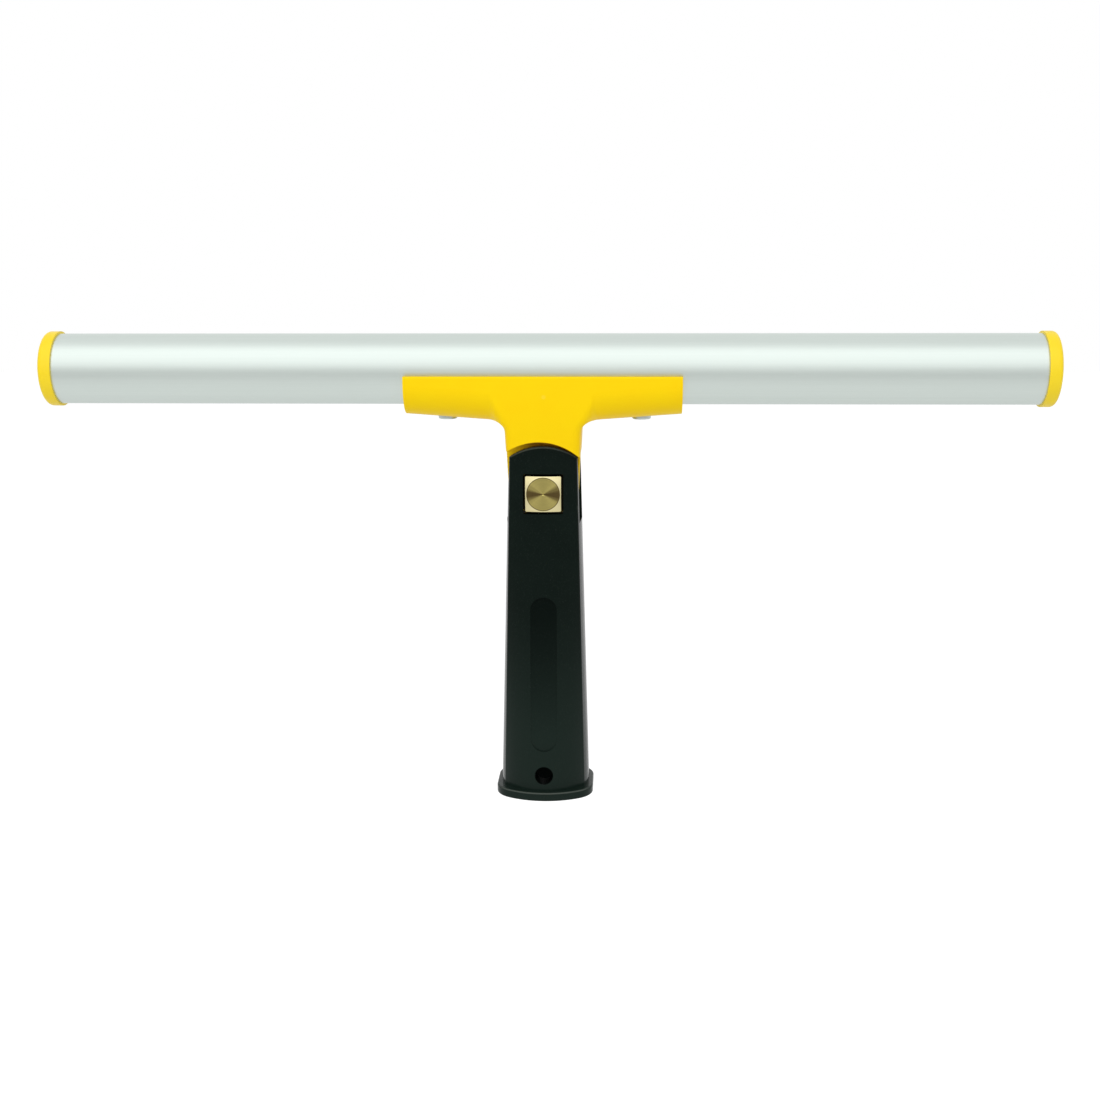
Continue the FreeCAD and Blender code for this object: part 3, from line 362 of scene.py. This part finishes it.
def mask_painted_shade(tree, across, depth, height):
    """Return a mask, up to 1 where shade is painted into the handle's skin.
    the set of points nearer than its half width to the upright line between its two turns, on the
    front only, and it fades in towards its upper end. The lock hole is what lies nearer to its own
    axis than its radius, and the socket what lies nearer to the Z axis than its own."""
    line_height = add_node(tree, "ShaderNodeClamp", inputs={
        "Min": RECESS_TURNS[0], "Max": RECESS_TURNS[1]})
    tree.links.new(height, line_height.inputs["Value"])
    past_turns = combine(tree, "SUBTRACT", height, line_height.outputs["Result"])
    above_hole = combine(tree, "SUBTRACT", height, LOCK_HOLE_LEVEL)
    masks = []
    for measure, radius in ((past_turns, RECESS_HALF_WIDTH),
                            (above_hole, LOCK_HOLE_RADIUS + SKIN_STEP),
                            (depth, SOCKET_RADIUS + 2 * SKIN_STEP)):
        flat = add_node(tree, "ShaderNodeCombineXYZ")
        tree.links.new(across, flat.inputs["X"])
        tree.links.new(measure, flat.inputs["Z"])
        reach = length(tree, flat.outputs["Vector"])
        masks.append(carry(tree, reach, radius, radius - SKIN_STEP))
    recess, lock_hole, socket = masks
    upper_end = carry(tree, height, *RECESS_FADE, 0, RECESS_STRENGTH)
    in_front = combine(tree, "LESS_THAN", depth, 0.0)
    upper_recess = combine(tree, "MULTIPLY", recess, upper_end)
    front_recess = combine(tree, "MULTIPLY", upper_recess, in_front)
    bores = combine(tree, "MAXIMUM", lock_hole, socket)
    return combine(tree, "MAXIMUM", bores, front_recess)


black_plastic, tree, shader = new_material("black_grained_plastic")
shader.inputs["Specular IOR Level"].default_value = HANDLE_GLOSS
shader.inputs["Coat Roughness"].default_value = SHINE_ROUGHNESS
shader.inputs["Coat IOR"].default_value = SHINE_INDEX
skin, colour = add_skin(tree, shader, HANDLE_GRAIN, HANDLE_TONES, HANDLE_ROUGHNESS)
across, depth, height = split_axes(tree, object_place(tree))
# The colour grows paler towards the bottom.
colour = paint(tree, carry(tree, height, *LOWER_PALE_HEIGHTS, smooth=True), colour, LOWER_PALE)
colour = paint(tree, carry(tree, skin.outputs["Grain"], *GLINT_LEVELS), colour, GLINTS)
# Painted highlight: faces turned up and to the front or back, the rounded upper rims, are painted
# pale.
facing = add_node(tree, "ShaderNodeNewGeometry")
own_way = add_node(tree, "ShaderNodeVectorTransform", {
    "vector_type": "NORMAL", "convert_from": "WORLD", "convert_to": "OBJECT"})
tree.links.new(facing.outputs["Normal"], own_way.inputs["Vector"])
sideways, endways, upwards = split_axes(tree, own_way.outputs["Vector"])
slope = combine(tree, "MULTIPLY", combine(tree, "ABSOLUTE", endways), upwards)
colour = paint(tree, carry(tree, slope, *RIM_HIGHLIGHT_SLOPES, smooth=True), colour, RIM_HIGHLIGHT)
# Painted shade: the recess's upper end and both bores are painted near black, and their coat is
# taken away.
painted_shade = mask_painted_shade(tree, across, depth, height)
colour = paint(tree, painted_shade, colour, SHADE_BLACK)
tree.links.new(colour, shader.inputs["Base Color"])
tree.links.new(combine(tree, "SUBTRACT", 1.0, painted_shade), shader.inputs["Coat Weight"])
dress("handle_moulding", black_plastic)


# Lock button: square brass bar whose face was turned in a lathe. The turned disc has fine rings
# and a painted bow-tie of highlight and shade, the bright corners fall away outside it, and the
# bar's drawn sides are painted dark as shade.
TURNED_SHADE = (0.105, 0.073, 0.026)
TURNED_HIGHLIGHT = (0.51, 0.43, 0.140)
TURNED_ROUGHNESS = (0.42, 0.34)
TURNED_BRUSHING = 0.7
TURNED_RADIUS = 0.0076
CORNER = (0.74, 0.66, 0.37)
SIDE_SHADE = (0.035, 0.027, 0.014)
SIDE_SHADE_DEPTHS = (-0.0145, -0.0141)
FAN_SCALE = 3.0
FAN_SHIFT = 0.3
BOW_STEEPNESS = (0.15, 0.68)
RING_SCALE = 3500.0
RING_TONES = (0.82, 1.12)
RIM_LINE = (TURNED_RADIUS - 0.0004, TURNED_RADIUS - 0.0001)
RIM_STEP = 0.0001


def add_turned_face(tree, shader):
    """Put a lathe-turned face about the swivel axis into a material. A painted shade and highlight
    follow the steepness of the line from the axis, dark to the left and right and light above and
    below, a little unevenly. The rings follow the distance from the axis. A thin line of painted
    shade rounds the disc, a plain brighter colour lies outside it, and painted shade covers what
    lies behind the face."""
    swivel = add_node(tree, "ShaderNodeGroup", {"node_tree": swivel_reach})
    offset, reach = swivel.outputs["Offset"], swivel.outputs["Reach"]
    # Painted highlight and shade: a bow-tie, dark to the left and right and light above and below.
    way = add_node(tree, "ShaderNodeVectorMath", {"operation": "NORMALIZE"})
    tree.links.new(flatten(tree, offset), way.inputs[0])
    upwards = split_axes(tree, way.outputs["Vector"])[2]
    fans = add_noise(tree, way.outputs["Vector"], FAN_SCALE, 4.0)
    steepness = combine(tree, "ADD", combine(tree, "ABSOLUTE", upwards),
                        carry(tree, fans, 0, 1, -FAN_SHIFT, FAN_SHIFT))
    painted_bow = carry(tree, steepness, *BOW_STEEPNESS, smooth=True)
    sector = vary(tree, shader, painted_bow, (TURNED_SHADE, TURNED_HIGHLIGHT), TURNED_ROUGHNESS)
    rings = add_node(tree, "ShaderNodeTexNoise", {"noise_dimensions": "1D"}, {
        "Scale": RING_SCALE, "Detail": 3.0, "Roughness": 0.7})
    tree.links.new(reach, rings.inputs["W"])
    ringed = add_node(tree, "ShaderNodeVectorMath", {"operation": "SCALE"})
    tree.links.new(sector, ringed.inputs[0])
    tree.links.new(carry(tree, rings.outputs["Fac"], 0.25, 0.75, *RING_TONES),
                   ringed.inputs["Scale"])
    # Painted shade: a thin dark line rounds the disc.
    rim = carry(tree, reach, *RIM_LINE, smooth=True)
    colour = paint(tree, rim, ringed.outputs["Vector"], TURNED_SHADE)
    outside = carry(tree, reach, TURNED_RADIUS, TURNED_RADIUS + RIM_STEP)
    colour = paint(tree, outside, colour, CORNER)
    # Painted shade: the sides behind the face are painted dark.
    behind = carry(tree, split_axes(tree, offset)[1], *SIDE_SHADE_DEPTHS)
    tree.links.new(paint(tree, behind, colour, SIDE_SHADE), shader.inputs["Base Color"])
    tree.links.new(cross(tree, (0, 1, 0), offset), shader.inputs["Tangent"])


turned_brass, tree, shader = new_material("turned_brass", metallic=1.0)
shader.inputs["Anisotropic"].default_value = TURNED_BRUSHING
add_turned_face(tree, shader)
dress("lock_button", turned_brass)


# Brake cone: the same brass, turned all over and left dry so that it grips the seat in the tongue.
# The retaining screw holds it on the button's nose.
CONE_TONES = ((0.56, 0.43, 0.20), (0.68, 0.54, 0.27))
CONE_ROUGHNESS = (0.34, 0.48)

dry_brass, tree, shader = new_material("dry_turned_brass", metallic=1.0)
tool_marks = add_node(tree, "ShaderNodeTexWave", {"bands_direction": "Y"}, {
    "Scale": 500.0, "Distortion": 0.8})
tree.links.new(object_place(tree), tool_marks.inputs["Vector"])
vary(tree, shader, tool_marks.outputs["Fac"], CONE_TONES, CONE_ROUGHNESS)
dress("brake_cone", dry_brass)


# Retaining screw and return spring: plain bright steel, inside the fork. The screw shows through
# the driver hole in the back.
STEEL_TONES = ((0.44, 0.45, 0.46), (0.54, 0.55, 0.56))
STEEL_ROUGHNESS = (0.28, 0.44)
DRAW_MARK_SCALE = 1400.0

plain_steel, tree, shader = new_material("plain_bright_steel", metallic=1.0)
draw_marks = add_noise(tree, object_place(tree), DRAW_MARK_SCALE, 3.0)
vary(tree, shader, draw_marks, STEEL_TONES, STEEL_ROUGHNESS)
dress("retaining_screw", plain_steel)
dress("button_spring", plain_steel)


# Thrust washers: natural acetal, one each side of the tongue, cut from sheet. Most of each is
# painted near black, as painted shade in the gap round the button.
ACETAL_TONES = ((0.80, 0.79, 0.74), (0.86, 0.85, 0.80))
ACETAL_ROUGHNESS = (0.36, 0.44)
ACETAL_GRAIN = {"scale": 1800.0, "share": 0.3, "strength": 0.08, "depth": 0.0002}
WASHER_SHADE = (0.035, 0.030, 0.022)
WASHER_SHADE_LEVELS = (0.20, 0.40)

acetal, tree, shader = new_material("acetal_with_painted_shade")
skin, colour = add_skin(tree, shader, ACETAL_GRAIN, ACETAL_TONES, ACETAL_ROUGHNESS)
# Painted shade: most of each washer is painted near black.
colour = paint(tree, carry(tree, skin.outputs["Tone"], *WASHER_SHADE_LEVELS), colour, WASHER_SHADE)
tree.links.new(colour, shader.inputs["Base Color"])
dress("thrust_washer_front", acetal)
dress("thrust_washer_rear", acetal)


# Studio: a white floor below the object, a white room that is dimmer in front, where the camera
# stands, and a large soft lamp above it.
FLOOR_LEVEL = -0.32
FLOOR_HALF = 6
FLOOR_WHITE = 0.82
FLOOR_ROUGHNESS = 0.9
FLOOR_LIFT = 0.45
FLOOR_GLOSS_LIFT = 0.22
FLOOR_GLOSS_SPAN = (-1.4, -0.2)
ROOM_LIGHT = 0.70
ROOM_GLOSS = (0.55, 1.0)
ROOM_GLOSS_SPAN = (-0.9, 0.2)
LAMP_PLACE = Vector((-0.1, -0.95, 1.02))
LAMP_AIM = Vector((0, 0, 0.15))
LAMP_SIZE = (2.2, 1.8)
LAMP_POWER = 11.3


def seen_straight(tree, ray):
    """Return 1 for rays that the camera sends, through clear pieces too."""
    return combine(tree, "ADD", ray.outputs["Is Camera Ray"], ray.outputs["Is Transmission Ray"],
                   clamp=True)


floor_mesh = bpy.data.meshes.new("floor")
floor_mesh.from_pydata(
    [(x, y, FLOOR_LEVEL) for x, y in ((-FLOOR_HALF, -FLOOR_HALF), (FLOOR_HALF, -FLOOR_HALF),
                                      (FLOOR_HALF, FLOOR_HALF), (-FLOOR_HALF, FLOOR_HALF))],
    [], [(0, 1, 2, 3)])
floor = bpy.data.objects.new("floor", floor_mesh)
bpy.context.scene.collection.objects.link(floor)
white_floor, tree, shader = new_material("white_floor")
shader.inputs["Base Color"].default_value = (FLOOR_WHITE, FLOOR_WHITE, FLOOR_WHITE, 1)
shader.inputs["Roughness"].default_value = FLOOR_ROUGHNESS
ray = add_node(tree, "ShaderNodeLightPath")
depth = split_axes(tree, object_place(tree))[1]
mirrored = carry(tree, depth, *FLOOR_GLOSS_SPAN, 0, FLOOR_GLOSS_LIFT)
in_gloss = combine(tree, "MULTIPLY", ray.outputs["Is Glossy Ray"], mirrored)
lift = combine(tree, "MULTIPLY_ADD", seen_straight(tree, ray), FLOOR_LIFT, in_gloss)
glow = add_node(tree, "ShaderNodeEmission")
lifted = add_node(tree, "ShaderNodeAddShader")
tree.links.new(lift, glow.inputs["Strength"])
tree.links.new(shader.outputs["BSDF"], lifted.inputs[0])
tree.links.new(glow.outputs["Emission"], lifted.inputs[1])
tree.links.new(lifted.outputs["Shader"], tree.nodes["Material Output"].inputs["Surface"])
floor_mesh.materials.append(white_floor)

world = bpy.data.worlds.new("white_room")
bpy.context.scene.world = world
world.use_nodes = True
tree = world.node_tree
room = tree.nodes["Background"]
room.inputs["Color"].default_value = (1, 1, 1, 1)
way = add_node(tree, "ShaderNodeTexCoord")
ray = add_node(tree, "ShaderNodeLightPath")
depth = split_axes(tree, way.outputs["Generated"])[1]
mirrored = add_node(tree, "ShaderNodeMix", {"data_type": "FLOAT"}, {"A": ROOM_LIGHT})
white = add_node(tree, "ShaderNodeMix", {"data_type": "FLOAT"}, {"B": 1.0})
tree.links.new(ray.outputs["Is Glossy Ray"], mirrored.inputs["Factor"])
tree.links.new(carry(tree, depth, *ROOM_GLOSS_SPAN, *ROOM_GLOSS), mirrored.inputs["B"])
tree.links.new(seen_straight(tree, ray), white.inputs["Factor"])
tree.links.new(mirrored.outputs["Result"], white.inputs["A"])
tree.links.new(white.outputs["Result"], room.inputs["Strength"])

lamp_data = bpy.data.lights.new("upper_softbox", "AREA")
lamp_data.shape = "RECTANGLE"
lamp_data.size, lamp_data.size_y = LAMP_SIZE
lamp_data.energy = LAMP_POWER
lamp = bpy.data.objects.new("upper_softbox", lamp_data)
bpy.context.scene.collection.objects.link(lamp)
lamp.location = LAMP_PLACE
lamp.rotation_euler = (LAMP_AIM - LAMP_PLACE).to_track_quat("-Z", "Y").to_euler()
